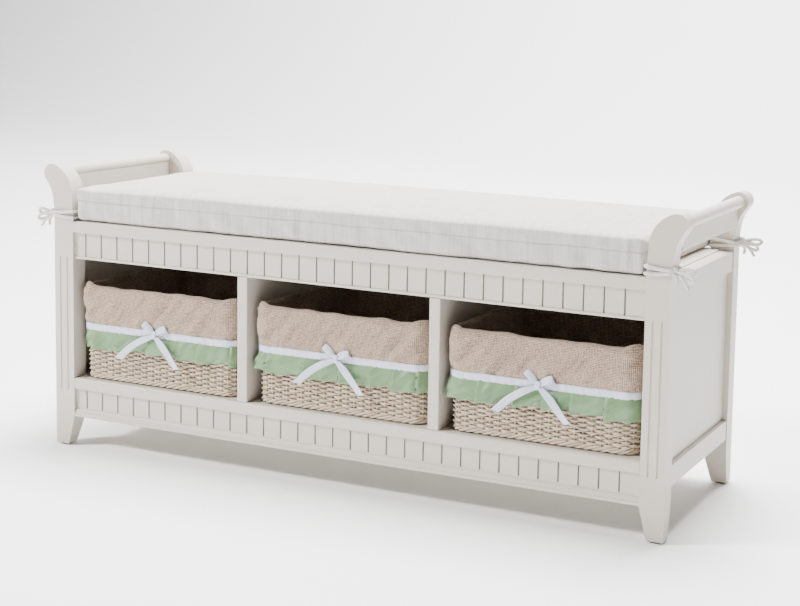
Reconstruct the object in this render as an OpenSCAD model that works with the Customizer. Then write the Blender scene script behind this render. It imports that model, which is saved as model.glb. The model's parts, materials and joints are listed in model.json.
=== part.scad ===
// Entryway bench: a painted timber frame with scrolled arms and three cubbies,
// a tied seat cushion and three lined wicker baskets.
// Origin: middle of the bench on the floor. +X along the bench, +Y to the back, +Z up.

/* [Bench] */
// Length over the outer faces of the posts
bench_len = 1200; // [1100:10:1400]
// Depth over the front and rear posts
bench_dep = 370; // [350:1:400]
// Height of the seat board's top face
seat_z = 424.2; // [415:0.2:435]
// Height of the top of the arm heads
arm_z = 527; // [520:0.5:540]
// Width of a post, seen from the front
post = 42.2; // [38:0.2:46]
// Depth of a post, front to back
post_d = 32.6; // [30:0.2:44]
// Width of a foot at the floor
foot_w = 28.6; // [22:0.2:36]
// Height at which the feet begin to taper
foot_z = 57; // [40:1:60]

/* [Front] */
// Underside of the top moulding
mould_top_z = 403.2; // [400:0.1:408]
// Underside of the top apron
apron_top_z = 354.9; // [348:0.1:362]
// Top face of the shelf
shelf_z = 130.7; // [127:0.1:135]
// Underside of the shelf nosing
nosing_z = 107.9; // [104:0.1:112]
// Underside of the lower apron
apron_low_z = 73.4; // [70:0.1:78]
// Underside of the base moulding
base_low_z = 57.2; // [54:0.1:60]
// Width of one bead board
board = 35.17; // [30:0.01:40]
// Thickness of a cubby divider
divider_t = 20; // [16:0.5:24]

/* [Ends] */
// Top of the upper end rail
end_top_z = 421.6; // [418:0.1:424]
// Underside of the upper end rail
end_top_low_z = 387.6; // [382:0.1:392]
// Top of the lower end rail
end_low_top_z = 119.3; // [115:0.1:123]
// Underside of the lower end rail
end_low_z = 85; // [80:0.1:90]
// Underside of the arm panel
arm_panel_z = 465; // [458:1:475]
// Radius of the round arm rail
arm_rail_r = 10.5; // [9:0.5:12]

/* [Cushion] */
// Thickness of the cushion
cushion_h = 69; // [60:1:90]
// Radius of the cushion's corners in plan
cushion_r = 14; // [10:1:30]

/* [Baskets] */
// Outer width of a basket at its rim
basket_w = 336; // [300:1:342]
// Outer depth of a basket at its rim
basket_d = 325; // [300:1:335]
// Height of a basket's rim above the shelf
basket_h = 172; // [150:1:190]
// Wall thickness of the wicker
wicker_t = 7; // [5:0.5:10]
// How much narrower the basket is at its base, on each side
basket_in = 2; // [1:1:14]
// Set-back of the basket's front from the posts' front face
basket_back = 10; // [10:1:16]

/* [Hidden] */
$fn = 48;
hx = bench_len / 2;              // outer face of the posts
hy = bench_dep / 2;              // front and rear faces of the posts
ix = hx - post;                  // inner face of the posts
iy = hy - post_d;
lap = 0.01;                      // cutters run past the faces they open
pad_z = 3;                       // height of the foot glides
foot_d = foot_w * post_d / post; // depth of a foot at the floor
arm_foot_z = arm_z - 91;         // where the arm starts to curve
groove_w = 3.2;                  // V joints of the bead boards
groove_d = 3;
cubby = (2 * ix - 2 * divider_t) / 3;   // clear width of one cubby
div_x = (cubby + divider_t) / 2;        // middle of a divider
rail_t = 24;                     // thickness of the end and back rails
rail_in = 1.5;                   // set-back of the rails from the posts' outer faces
panel_t = 6;
panel_in = 10;                   // set-back of the end panels
dowel_r = 4;
dowel_l = 32;
basket_x = [-(cubby + divider_t), 0, cubby + divider_t];
basket_y = -hy + basket_back + basket_d / 2;
base_z = shelf_z + 0.3;          // baskets stand just clear of the shelf
rim_z = base_z + basket_h;
skirt_t = 3;                     // liner cloth as a plain slab
skirt_z = 223;                   // lower edge of the plain part of the liner
ribbon_h = 13;
ruffle_z = 184;                  // lower edge of the ruffle
tie_z = 434;
tie_h = 11;
tie_t = 2.5;

WOOD = [0.90, 0.89, 0.86];
LINEN = [0.86, 0.84, 0.80];
WICKER = [0.78, 0.66, 0.50];
TWEED = [0.66, 0.58, 0.50];
MINT = [0.69, 0.80, 0.67];
SATIN = [0.90, 0.90, 0.95];

// A box given by its two corners
module span(a, b) { translate(a) cube(b - a); }

// The same shape at +X or mirrored to -X
module side(s) { if (s < 0) mirror([1, 0, 0]) children(); else children(); }

// The same shape at the back or mirrored to the front
module face(s) { if (s < 0) mirror([0, 1, 0]) children(); else children(); }

// ---- Posts -------------------------------------------------------------

head_r = 17.5;                   // round end of the arm
head_u = 5;                      // its centre, outward of the post's outer face
head_v = arm_z - head_r;
roll_r = 56;                     // big curve on the side towards the seat
roll_u = 2 - post + roll_r;
roll_v = head_v - sqrt((roll_r - head_r) * (roll_r - head_r)
  - (roll_u - head_u) * (roll_u - head_u));
meet = atan2(head_v - roll_v, head_u - roll_u);

// A point on a cubic curve through a, towards b and c, ending at d
function curve(a, b, c, d, t) =
  a * pow(1 - t, 3) + 3 * b * t * pow(1 - t, 2) + 3 * c * t * t * (1 - t) + d * pow(t, 3);
function on_arc(u, v, r, a) = [u + r * cos(a), v + r * sin(a)];

// Post and arm head seen from the front: x = 0 is the outer face, outward is positive
post_outline = concat(
  [[-post, foot_z], [-foot_w, pad_z], [0, pad_z]],
  [for (i = [0:8]) curve([0, arm_foot_z], [1, arm_z - 59.5], [6, arm_z - 43],
    on_arc(head_u, head_v, head_r, -42), i / 8)],
  [for (i = [1:12]) on_arc(head_u, head_v, head_r, -42 + (meet + 42) * i / 12)],
  [for (i = [1:10]) on_arc(roll_u, roll_v, roll_r, meet + (180 - meet) * i / 10)],
  [[-post, arm_foot_z]]
);

module post_blank() {
  intersection() {
    rotate([90, 0, 0]) linear_extrude(2 * post, center = true) polygon(post_outline);
    rotate([90, 0, 90]) linear_extrude(4 * post, center = true) polygon([
      [-post_d / 2, pad_z], [foot_d - post_d / 2, pad_z], [post_d / 2, foot_z],
      [post_d / 2, arm_z + 5], [-post_d / 2, arm_z + 5]]);
  }
}

// Round-ended groove down the front of a post
module flute(u) {
  translate([u, -post_d / 2, 0]) {
    translate([0, 0, nosing_z]) cylinder(r = 1.9, h = apron_top_z - nosing_z);
    for (z = [nosing_z, apron_top_z]) translate([0, 0, z]) sphere(r = 1.9);
  }
}

module dowels_at() {
  for (z = [end_top_z - 9, end_top_low_z + 15, end_low_top_z - 15, end_low_z + 7])
    translate([hx - rail_in - rail_t / 2, iy - dowel_l / 2, z]) rotate([-90, 0, 0])
      cylinder(r = dowel_r, h = dowel_l);
}

module post_at(sx, sy) {
  color(WOOD) side(sx) face(sy) difference() {
    translate([hx, hy - post_d / 2, 0]) mirror([0, 1, 0]) post_blank();
    if (sy < 0) translate([hx, hy - post_d / 2, 0]) mirror([0, 1, 0])
      for (u = [-7.75, 7.75]) flute(u - post / 2);
    dowels_at();
    translate([hx + head_u, iy - lap, head_v]) rotate([-90, 0, 0])
      cylinder(r = 6, h = 12 + lap);
  }
}

module post_front_left() { post_at(-1, -1); }
module post_front_right() { post_at(1, -1); }
module post_rear_left() { post_at(-1, 1); }
module post_rear_right() { post_at(1, 1); }

// ---- Ends --------------------------------------------------------------

module end_rail(z0, z1, groove_z0, groove_z1) {
  difference() {
    span([hx - rail_in - rail_t, -iy, z0], [hx - rail_in, iy, z1]);
    span([hx - panel_in - panel_t, -iy - lap, groove_z0], [hx - panel_in, iy + lap, groove_z1]);
    for (s = [-1, 1]) face(s) dowels_at();
  }
}

module end_rail_top(s) {
  color(WOOD) side(s) end_rail(end_top_low_z, end_top_z, end_top_low_z - lap, end_top_low_z + 8);
}
module end_rail_low(s) {
  color(WOOD) side(s) end_rail(end_low_z, end_low_top_z, end_low_top_z - 8, end_low_top_z + lap);
}
module end_panel(s) {
  color(WOOD) side(s) span([hx - panel_in - panel_t, -iy, end_low_top_z - 8],
    [hx - panel_in, iy, end_top_low_z + 8]);
}
module end_rail_top_left() { end_rail_top(-1); }
module end_rail_top_right() { end_rail_top(1); }
module end_rail_low_left() { end_rail_low(-1); }
module end_rail_low_right() { end_rail_low(1); }
module end_panel_left() { end_panel(-1); }
module end_panel_right() { end_panel(1); }

arm_slot = [-4, 5];              // arm panel's faces, outward of the post's outer face

// Round rail with a turned spigot into each arm head, slotted over the panel
module arm_rail(s) {
  color(WOOD) side(s) difference() {
    translate([hx + head_u, 0, head_v]) rotate([90, 0, 0]) {
      cylinder(r = arm_rail_r, h = 2 * iy, center = true);
      cylinder(r = 6, h = 2 * iy + 22, center = true);
    }
    span([hx + arm_slot[0], -iy, head_v - arm_rail_r - 5], [hx + arm_slot[1], iy, head_v - 6]);
  }
}
module arm_panel(s) {
  color(WOOD) side(s) span([hx + arm_slot[0], -iy, arm_panel_z],
    [hx + arm_slot[1], iy, head_v - 6]);
}
module arm_rail_left() { arm_rail(-1); }
module arm_rail_right() { arm_rail(1); }
module arm_panel_left() { arm_panel(-1); }
module arm_panel_right() { arm_panel(1); }

// ---- Front -------------------------------------------------------------

apron_y = -hy + 6;               // front face of the bead boards
apron_t = 12;
mould_dep = 22;                  // depth of the seat moulding, front to back

// A strip with the given section (y inward from the front face, z), between the posts
module strip(section) {
  rotate([90, 0, 90]) linear_extrude(2 * ix, center = true)
    polygon([for (p = section) [p[0] - hy, p[1]]]);
}

// Flat band with its two front edges rounded, standing proud of the bead boards
module seat_moulding() {
  color(WOOD) strip(concat(
    [[mould_dep, mould_top_z], [mould_dep, seat_z]],
    [for (a = [90:-15:0]) [3 - 3 * cos(a), seat_z - 3 + 3 * sin(a)]],
    [for (a = [0:15:90]) [1.5 - 1.5 * cos(a), mould_top_z + 1.5 - 1.5 * sin(a)]]
  ));
}

// Tongued boards with a V at each joint, over the given heights
module bead_boards(z0, z1) {
  v = groove_w / 2;
  span([-ix, apron_y + groove_d - 0.2, z0], [ix, apron_y + apron_t, z1]);
  first = -hx + 102 - 1 * board;
  for (k = [-1:30]) {
    a = k < 0 ? -ix : first + k * board + v;
    b = k == 30 ? ix : first + (k + 1) * board - v;
    translate([0, 0, z0]) linear_extrude(z1 - z0) polygon([
      [max(a - v, -ix), apron_y + groove_d], [a, apron_y], [b, apron_y],
      [min(b + v, ix), apron_y + groove_d]]);
  }
}
module seat_apron() { color(WOOD) bead_boards(apron_top_z + 4, mould_top_z); }
module shelf_apron() { color(WOOD) bead_boards(apron_low_z, nosing_z); }
module apron_lip() {
  color(WOOD) strip([[4, apron_top_z], [5, apron_top_z - 1], [18, apron_top_z - 1],
    [18, apron_top_z + 4], [4, apron_top_z + 4]]);
}
module shelf_nosing() {
  r = 5;
  color(WOOD) strip(concat(
    [[16, nosing_z], [16, shelf_z]],
    [for (a = [90:-15:0]) [r - r * sin(90 - a), shelf_z - r + r * sin(a)]],
    [for (a = [0:15:90]) [r - r * cos(a), nosing_z + r - r * sin(a)]]
  ));
}
module base_moulding() {
  z = apron_low_z;
  color(WOOD) strip(concat(
    [[20, base_low_z], [20, z], [5.6, z]],
    [for (a = [90:-15:0]) [1.6 + 4 * (1 - cos(a)), z - 10 + 8 * sin(a)]],
    [[0, z - 11], [0, base_low_z]]
  ));
}

// ---- Boards ------------------------------------------------------------

module seat_board() {
  color(WOOD) difference() {
    span([-hx + rail_in + rail_t, -hy + mould_dep, seat_z - 16],
      [hx - rail_in - rail_t, hy - rail_in - rail_t, seat_z]);
    for (sx = [-1, 1], sy = [-1, 1])
      side(sx) face(sy) span([ix, iy, 0], [hx, hy, seat_z + 1]);
  }
}
module shelf_board() {
  color(WOOD) difference() {
    span([-hx + rail_in + rail_t, -hy + 16, shelf_z - 18],
      [hx - rail_in - rail_t, hy - rail_in - rail_t, shelf_z]);
    for (sx = [-1, 1], sy = [-1, 1])
      side(sx) face(sy) span([ix, iy, 0], [hx, hy, shelf_z + 1]);
  }
}
module divider(s) {
  color(WOOD) side(s) difference() {
    span([div_x - divider_t / 2, -hy + 2, shelf_z],
      [div_x + divider_t / 2, hy - rail_in - rail_t, seat_z - 16]);
    span([0, -hy, apron_top_z - 1], [hx, apron_y + apron_t, seat_z]);
    span([0, -hy, mould_top_z], [hx, -hy + mould_dep, seat_z]);
  }
}
module divider_left() { divider(-1); }
module divider_right() { divider(1); }

// Rail between the rear posts, rebated for the back panel
module back_rail(z0, z1, g0, g1) {
  difference() {
    span([-ix, hy - rail_in - rail_t, z0], [ix, hy - rail_in, z1]);
    span([-ix - lap, hy - panel_in - panel_t, g0], [ix + lap, hy - panel_in, g1]);
  }
}
module back_rail_top() {
  color(WOOD) back_rail(end_top_low_z, end_top_z, end_top_low_z - lap, end_top_low_z + 8);
}
module back_rail_low() {
  color(WOOD) back_rail(end_low_z, end_low_top_z, end_low_top_z - 8, end_low_top_z + lap);
}
module back_panel() {
  color(WOOD) span([-ix, hy - panel_in - panel_t, end_low_top_z - 8],
    [ix, hy - panel_in, end_top_low_z + 8]);
}

// ---- Hidden framing ----------------------------------------------------

module seat_cleats() {
  z1 = seat_z - 16;
  color("burlywood") for (s = [-1, 1]) side(s)
    span([hx - rail_in - rail_t - 18, -iy + 40, z1 - 20], [hx - rail_in - rail_t, iy - 40, z1]);
}

block_x = post - rail_in - rail_t;      // from a post's inner corner to the rails
block_y = post_d - rail_in - rail_t;
module block_plan() {
  polygon([[block_x, -34], [block_x, 0], [0, 0], [0, block_y], [-34, block_y]]);
}
module corner_blocks() {
  color("burlywood") for (sx = [-1, 1], sy = [-1, 1]) side(sx) face(sy)
    translate([ix, iy, seat_z - 16 - 30]) linear_extrude(30) block_plan();
}

// Countersunk screws up through each corner block into the seat
module corner_screws() {
  color("silver") for (sx = [-1, 1], sy = [-1, 1]) side(sx) face(sy)
    translate([ix - 3, iy - 3, seat_z - 16 - 30 - 2.4]) cylinder(r = 4, h = 2.4);
}

module rail_dowels() {
  color("tan") for (sx = [-1, 1], sy = [-1, 1]) side(sx) face(sy) dowels_at();
}

module foot_glides() {
  color("dimgray") for (sx = [-1, 1], sy = [-1, 1]) side(sx) face(sy)
    translate([hx - foot_w / 2, hy - foot_d / 2, 0]) cylinder(r = 9, h = pad_z);
}

// ---- Cushion and ties --------------------------------------------------

cushion_x = ix - 3;
cushion_y0 = -hy;
cushion_y1 = hy - 4;

// Rectangle with round corners, centred, by its full sizes
module round_rect(w, d, r) {
  square([w - 2 * r, d], center = true);
  square([w, d - 2 * r], center = true);
  for (x = [-1, 1], y = [-1, 1]) translate([x * (w / 2 - r), y * (d / 2 - r)]) circle(r);
}

module cushion() {
  w = 2 * cushion_x;
  d = cushion_y1 - cushion_y0;
  color(LINEN) translate([0, (cushion_y0 + cushion_y1) / 2, seat_z + 0.3]) {
    linear_extrude(cushion_h) round_rect(w - 14, d - 14, cushion_r - 7);
    translate([0, 0, 7]) linear_extrude(cushion_h - 14) round_rect(w, d, cushion_r);
  }
}

// Tape round the post above the end rail, a knot outside and the bow lying on it
module tie(sx, sy) {
  color(LINEN) side(sx) face(sy) translate([hx, hy - post_d / 2, tie_z - 8]) {
    difference() {
      span([-post - tie_t, -post_d / 2 - tie_t, 8], [tie_t + 0.6, post_d / 2 + tie_t, 8 + tie_h]);
      span([-post, -post_d / 2, 0], [0.6, post_d / 2, 40]);
    }
    translate([tie_t + 4, 0, 13]) rotate([0, 90, 0]) cylinder(r = 6.5, h = 10, center = true);
    for (s = [-1, 1]) hull() {
      translate([tie_t + 6, s * 4, 12]) rotate([0, 90, 0]) cylinder(r = 3.5, h = 7, center = true);
      translate([36, s * 15, 8]) rotate([0, 90, 0]) cylinder(r = 8, h = 12, center = true);
    }
    for (s = [-1, 1]) hull() {
      translate([tie_t + 4, s * 2, 10]) cube([5, 4, 4], center = true);
      translate([22, s * 12, -34]) cube([5, 7, 4], center = true);
    }
  }
}
module tie_front_left() { tie(-1, -1); }
module tie_front_right() { tie(1, -1); }
module tie_rear_left() { tie(-1, 1); }
module tie_rear_right() { tie(1, 1); }

// ---- Baskets -----------------------------------------------------------

corner_r = 26;
slack = 0.1;                     // cloth lies this far off the wicker

// Tapered tub with round corners, drawn as the hull of its base and rim plans
function taper(z) = basket_in * (rim_z - z) / basket_h;
module tub(grow, z0, z1) {
  hull() for (e = [[z0, taper(z0)], [z1 - 0.01, taper(z1)]])
    for (x = [-1, 1], y = [-1, 1])
      translate([x * (basket_w / 2 - e[1] - corner_r), y * (basket_d / 2 - e[1] - corner_r), e[0]])
        cylinder(r = corner_r + grow, h = 0.01, $fn = 32);
}

module basket(i) {
  color(WICKER) translate([basket_x[i], basket_y, 0]) difference() {
    tub(0, base_z, rim_z);
    tub(-wicker_t, base_z + wicker_t, rim_z + 1);
  }
}

// Cloth turned over the rim: a skirt outside and a lining inside, joined on top
module liner(i) {
  color(TWEED) translate([basket_x[i], basket_y, 0]) {
    difference() {
      tub(skirt_t, skirt_z + ribbon_h, rim_z + skirt_t);
      tub(slack, skirt_z + ribbon_h - 1, rim_z);
      tub(-wicker_t - 2, skirt_z, rim_z + skirt_t + 1);
    }
    difference() {
      tub(-wicker_t - slack, base_z + wicker_t + slack, rim_z);
      tub(-wicker_t - 2, base_z + wicker_t + 2, rim_z + 1);
    }
  }
}

module band(grow, t, z0, z1) {
  difference() {
    tub(grow + t, z0, z1);
    tub(grow, z0 - 1, z1 + 1);
  }
}

module ribbon(i) {
  color(SATIN) translate([basket_x[i], basket_y, 0]) band(slack, skirt_t + 0.8, skirt_z,
    skirt_z + ribbon_h);
}

// Knot, two loops and two tails on the basket's front
module bow(i) {
  zc = skirt_z + ribbon_h / 2;
  y0 = -hy + basket_back + taper(skirt_z + ribbon_h) - slack - skirt_t - 0.8;
  color(SATIN) translate([basket_x[i], y0, zc]) rotate([90, 0, 0]) {
    cylinder(r = 8, h = 8);
    for (s = [-1, 1]) {
      hull() {
        translate([s * 6, 0, 0]) cylinder(r = 4, h = 6);
        translate([s * 34, 13, 0]) cylinder(r = 9, h = 6);
      }
      hull() {
        translate([s * 5, -4, 3]) cylinder(r = 3, h = 3);
        translate([s * 62, -54, 3]) cylinder(r = 6, h = 3);
      }
    }
  }
}

module ruffle(i) {
  color(MINT) translate([basket_x[i], basket_y, 0]) band(slack, skirt_t, ruffle_z, skirt_z);
}

module basket_left() { basket(0); }
module basket_middle() { basket(1); }
module basket_right() { basket(2); }
module liner_left() { liner(0); }
module liner_middle() { liner(1); }
module liner_right() { liner(2); }
module ribbon_left() { ribbon(0); }
module ribbon_middle() { ribbon(1); }
module ribbon_right() { ribbon(2); }
module bow_left() { bow(0); }
module bow_middle() { bow(1); }
module bow_right() { bow(2); }
module ruffle_left() { ruffle(0); }
module ruffle_middle() { ruffle(1); }
module ruffle_right() { ruffle(2); }

post_front_left();
post_front_right();
post_rear_left();
post_rear_right();
end_rail_top_left();
end_rail_top_right();
end_rail_low_left();
end_rail_low_right();
end_panel_left();
end_panel_right();
arm_rail_left();
arm_rail_right();
arm_panel_left();
arm_panel_right();
seat_moulding();
seat_apron();
apron_lip();
shelf_nosing();
shelf_apron();
base_moulding();
seat_board();
shelf_board();
divider_left();
divider_right();
back_rail_top();
back_rail_low();
back_panel();
seat_cleats();
corner_blocks();
corner_screws();
rail_dowels();
foot_glides();
cushion();
tie_front_left();
tie_front_right();
tie_rear_left();
tie_rear_right();
basket_left();
basket_middle();
basket_right();
liner_left();
liner_middle();
liner_right();
ribbon_left();
ribbon_middle();
ribbon_right();
bow_left();
bow_middle();
bow_right();
ruffle_left();
ruffle_middle();
ruffle_right();
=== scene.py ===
"""An entryway bench with a tied linen cushion and three lined wicker baskets."""

import json
import math

import bmesh
import bpy
import numpy as np
from mathutils import Matrix, Vector, noise


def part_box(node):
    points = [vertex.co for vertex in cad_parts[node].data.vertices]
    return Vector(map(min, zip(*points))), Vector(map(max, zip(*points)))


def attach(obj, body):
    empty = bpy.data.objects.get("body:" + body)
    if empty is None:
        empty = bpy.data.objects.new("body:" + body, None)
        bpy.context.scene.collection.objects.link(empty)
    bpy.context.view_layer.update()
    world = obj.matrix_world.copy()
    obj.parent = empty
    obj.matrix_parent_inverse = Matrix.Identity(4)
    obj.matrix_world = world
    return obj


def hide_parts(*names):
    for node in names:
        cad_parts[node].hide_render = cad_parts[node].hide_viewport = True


bl_info = {
    "name": "Entryway Bench",
    "version": (1, 0, 0),
    "blender": (4, 5, 0),
    "location": "View3D > Sidebar > Bench",
    "description": "Finishes a painted bench and makes its cushion, ties and lined baskets",
    "category": "Object",
}

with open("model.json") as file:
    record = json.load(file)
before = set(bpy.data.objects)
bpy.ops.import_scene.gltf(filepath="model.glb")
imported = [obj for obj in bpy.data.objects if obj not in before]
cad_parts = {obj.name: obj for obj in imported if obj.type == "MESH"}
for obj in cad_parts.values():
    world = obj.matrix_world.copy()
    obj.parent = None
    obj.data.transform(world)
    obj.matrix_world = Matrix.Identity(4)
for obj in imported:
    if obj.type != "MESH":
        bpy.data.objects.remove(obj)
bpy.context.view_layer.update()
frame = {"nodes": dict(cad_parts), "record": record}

# ---- Places, worked out from the frame ----------------------------------

MM = 0.001
SIDES = ("left", "middle", "right")
BASKET_LOW, BASKET_HIGH = (Vector(v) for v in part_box("basket_middle"))
BASE_Z, RIM_Z = BASKET_LOW.z, BASKET_HIGH.z
HALF_W = (BASKET_HIGH.x - BASKET_LOW.x) / 2
HALF_D = (BASKET_HIGH.y - BASKET_LOW.y) / 2
CORNER = 26 * MM  # radius of the tub's corners in plan
LEAN = 2 * MM / (RIM_Z - BASE_Z)  # how fast the tub narrows going down
WALL = 7 * MM
HEM_RISE = 7 * MM  # the ruffle's hem above its solid's
FLOOR_GAP = 2 * MM  # between the wicker base and the lining
CLOTH_STEPS = 20  # frames that the cushion's cover swells for
RIBBON_LOW, RIBBON_HIGH = (Vector(v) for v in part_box("ribbon_middle"))
RUFFLE_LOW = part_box("ruffle_middle")[0][2]
SEAT_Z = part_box("seat_board")[1][2]
POST_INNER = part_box("post_front_right")[0][0]
POST_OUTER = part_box("end_rail_top_right")[1][0] + 1.5 * MM
WALL_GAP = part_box("divider_right")[0][0] - BASKET_HIGH.x  # between a basket and a divider


def basket_centre(side):
    """The middle of a basket in plan."""
    low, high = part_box(f"basket_{side}")
    return Vector(((low[0] + high[0]) / 2, (low[1] + high[1]) / 2, 0))


# ---- Settings -----------------------------------------------------------


def colour(name, description, default):
    return bpy.props.FloatVectorProperty(
        name=name, description=description, default=default, subtype="COLOR", min=0, max=1
    )


def length(name, description, default):
    return bpy.props.FloatProperty(
        name=name, description=description, default=default, unit="LENGTH", min=0, precision=4
    )


class BenchFrameSettings(bpy.types.PropertyGroup):
    paint: colour("Paint", "Colour of the painted timber", (0.58, 0.53, 0.46))
    # inside: near-black painted shade on the back panel's face towards the cubbies, standing in for
    # their shadow
    inside: colour("Cubby back shade", "Painted shade on the back panel's inner face", (0.006, 0.006, 0.006))
    timber: colour("Timber", "Colour of the unpainted hidden timber", (0.56, 0.38, 0.21))
    edge: length("Edge rounding", "Radius worked onto the timber's edges", 1.3 * MM)


class BenchCushionSettings(bpy.types.PropertyGroup):
    linen: colour("Linen", "Colour of the cushion cover", (0.59, 0.555, 0.52))
    slub: colour("Slub", "Colour of the darker slub threads", (0.33, 0.30, 0.27))
    tie: colour("Ties", "Colour of the ties", (0.70, 0.675, 0.63))
    cord: length("Tie cord", "Thickness of a tie", 5.4 * MM)
    swell: length("Swell", "Most that the pressure may move the cover", 4 * MM)


class BenchBasketSettings(bpy.types.PropertyGroup):
    willow: colour("Willow", "Colour of the peeled willow", (0.53, 0.43, 0.32))
    willow_dark: colour("Willow, dark", "Colour of the darker rods", (0.34, 0.24, 0.15))
    tweed_light: colour("Tweed, light", "Pale yarn of the liner", (0.55, 0.42, 0.325))
    tweed_dark: colour("Tweed, dark", "Dark yarn of the liner", (0.17, 0.11, 0.075))
    satin: colour("Ribbon", "Colour of the satin ribbon", (0.66, 0.67, 0.80))
    mint: colour("Ruffle", "Colour of the ruffle", (0.17, 0.29, 0.14))
    stakes: bpy.props.IntProperty(
        name="Stakes", description="Upright rods round a basket, an even number",
        default=84, min=20, max=120,
    )
    weaver: length("Weaver", "Thickness of a woven rod", 4.3 * MM)
    row: length("Row height", "Height of one woven row", 4.25 * MM)
    pleats: bpy.props.IntProperty(
        name="Pleats", description="Pleats round a ruffle", default=22, min=8, max=60
    )


# ---- Materials ----------------------------------------------------------


class Value:
    """A node's output; arithmetic on it adds Math nodes."""

    def __init__(self, finish, socket):
        self.finish = finish
        self.socket = socket

    def maths(self, operation, *terms):
        node = self.finish.add("ShaderNodeMath", {"operation": operation}, dict(enumerate(terms)))
        return node[0]

    def __add__(self, other):
        return self.maths("ADD", self, other)

    def __radd__(self, other):
        return self.maths("ADD", other, self)

    def __sub__(self, other):
        return self.maths("SUBTRACT", self, other)

    def __rsub__(self, other):
        return self.maths("SUBTRACT", other, self)

    def __mul__(self, other):
        return self.maths("MULTIPLY", self, other)

    def __rmul__(self, other):
        return self.maths("MULTIPLY", other, self)

    def __truediv__(self, other):
        return self.maths("DIVIDE", self, other)

    def __gt__(self, other):
        return self.maths("GREATER_THAN", self, other)

    def __abs__(self):
        return self.maths("ABSOLUTE", self)

    def sine(self):
        return self.maths("SINE", self)

    def between(self, low, high):
        """This value carried from low..high to 0..1, smoothly and clamped."""
        return self.finish.add(
            "ShaderNodeMapRange", {"interpolation_type": "SMOOTHSTEP"}, {0: self, 1: low, 2: high}
        )[0]


class Outputs:
    def __init__(self, finish, node):
        self.finish = finish
        self.node = node

    def __getitem__(self, key):
        return Value(self.finish, self.node.outputs[key])


class Finish:
    """A material, built one node at a time."""

    def __init__(self, name):
        self.material = bpy.data.materials.new(name)
        self.material.use_nodes = True
        self.tree = self.material.node_tree
        self.tree.nodes.clear()

    def add(self, kind, settings=None, inputs=None):
        """A node of that type with its settings, then its sockets' values or links."""
        node = self.tree.nodes.new(kind)
        for key, value in (settings or {}).items():
            setattr(node, key, value)
        for key, value in (inputs or {}).items():
            if isinstance(value, Value):
                self.tree.links.new(value.socket, node.inputs[key])
            else:
                node.inputs[key].default_value = value
        return Outputs(self, node)

    def place(self):
        """The piece's own coordinates, in metres."""
        return self.add("ShaderNodeTexCoord")["Object"]

    def axes(self, vector):
        parts = self.add("ShaderNodeSeparateXYZ", inputs={0: vector})
        return parts[0], parts[1], parts[2]

    def stretch(self, vector, scale):
        return self.add(
            "ShaderNodeVectorMath", {"operation": "MULTIPLY"}, {0: vector, 1: scale}
        )[0]

    def grain(self, vector, scale, detail=3.0, rough=0.55):
        return self.add(
            "ShaderNodeTexNoise", inputs={"Vector": vector, "Scale": scale, "Detail": detail,
                                          "Roughness": rough}
        )["Fac"]

    def blend(self, amount, a, b, mode="MIX"):
        """A colour mix; a plain colour gets its alpha."""
        a, b = (c if isinstance(c, Value) else (*c, 1.0)[:4] for c in (a, b))
        return self.add(
            "ShaderNodeMix", {"data_type": "RGBA", "blend_type": mode}, {0: amount, 6: a, 7: b}
        )[2]

    def bump(self, height, distance, strength=1.0):
        return self.add(
            "ShaderNodeBump", inputs={"Height": height, "Distance": distance, "Strength": strength}
        )["Normal"]

    def surface(self, **sockets):
        """Ends the material in a Principled shader with these sockets."""
        named = {key.replace("_", " "): value for key, value in sockets.items()}
        shader = self.add("ShaderNodeBsdfPrincipled", inputs=named)
        self.add("ShaderNodeOutputMaterial", inputs={"Surface": shader["BSDF"]})
        return self.material


def tinted(rgb, factor):
    return tuple(min(1.0, c * factor) for c in rgb)


def paint_finish(settings, joints=False):
    """Satin paint over close-grained timber; the flag paints shade onto the slopes between boards.
    """
    f = Finish("groove_shaded_paint" if joints else "satin_paint")
    place = f.place()
    cloudy = f.grain(place, 5.0, 4.0)
    orange_peel = f.grain(place, 420.0, 2.0)
    brushed = f.grain(f.stretch(place, (30.0, 30.0, 240.0)), 1.0, 3.0)
    base = f.blend(cloudy.between(0.3, 0.7), tinted(settings.paint, 0.965), settings.paint)
    base = f.blend(brushed.between(0.55, 0.8) * 0.25, base, tinted(settings.paint, 1.05))
    if joints:
        # painted shade: sideways-facing faces, the V-groove slopes between boards, are darkened as
        # if in shadow
        slope = abs(f.axes(f.add("ShaderNodeTexCoord")["Normal"])[0])
        base = f.blend(slope.between(0.15, 0.5) * 0.62, base, tinted(settings.paint, 0.30))
    normal = f.bump(orange_peel * 0.6 + brushed * 0.4, 0.00012, 0.45)
    return f.surface(
        Base_Color=base, Roughness=0.36 + cloudy * 0.14, Normal=normal,
        Specular_IOR_Level=0.42,
    )


def back_finish(settings):
    """Painted behind; near black on the face towards the cubbies, painted shade for the shadow
    inside them.
    """
    f = Finish("cubby_back_shaded")
    facing = f.axes(f.add("ShaderNodeTexCoord")["Normal"])[1]
    cloudy = f.grain(f.place(), 8.0, 4.0)
    # painted shade: faces turned towards the cubbies take the near-black inside colour
    base = f.blend(facing > -0.5, settings.inside, settings.paint)
    base = f.blend(cloudy * 0.10, base, tinted(settings.paint, 0.5), "MULTIPLY")
    return f.surface(Base_Color=base, Roughness=0.62 + cloudy * 0.1,
                     Normal=f.bump(cloudy, 0.0002, 0.3))


def timber_finish(settings):
    """Unpainted softwood with its grain along the piece."""
    f = Finish("bare_timber")
    place = f.place()
    rings = f.grain(f.stretch(place, (140.0, 12.0, 140.0)), 1.0, 4.0)
    fine = f.grain(f.stretch(place, (900.0, 60.0, 900.0)), 1.0, 2.0)
    base = f.blend(rings.between(0.35, 0.65), tinted(settings.timber, 0.72), settings.timber)
    return f.surface(Base_Color=base, Roughness=0.62 + fine * 0.15,
                     Normal=f.bump(fine * 0.5 + rings * 0.5, 0.0002, 0.5))


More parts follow.
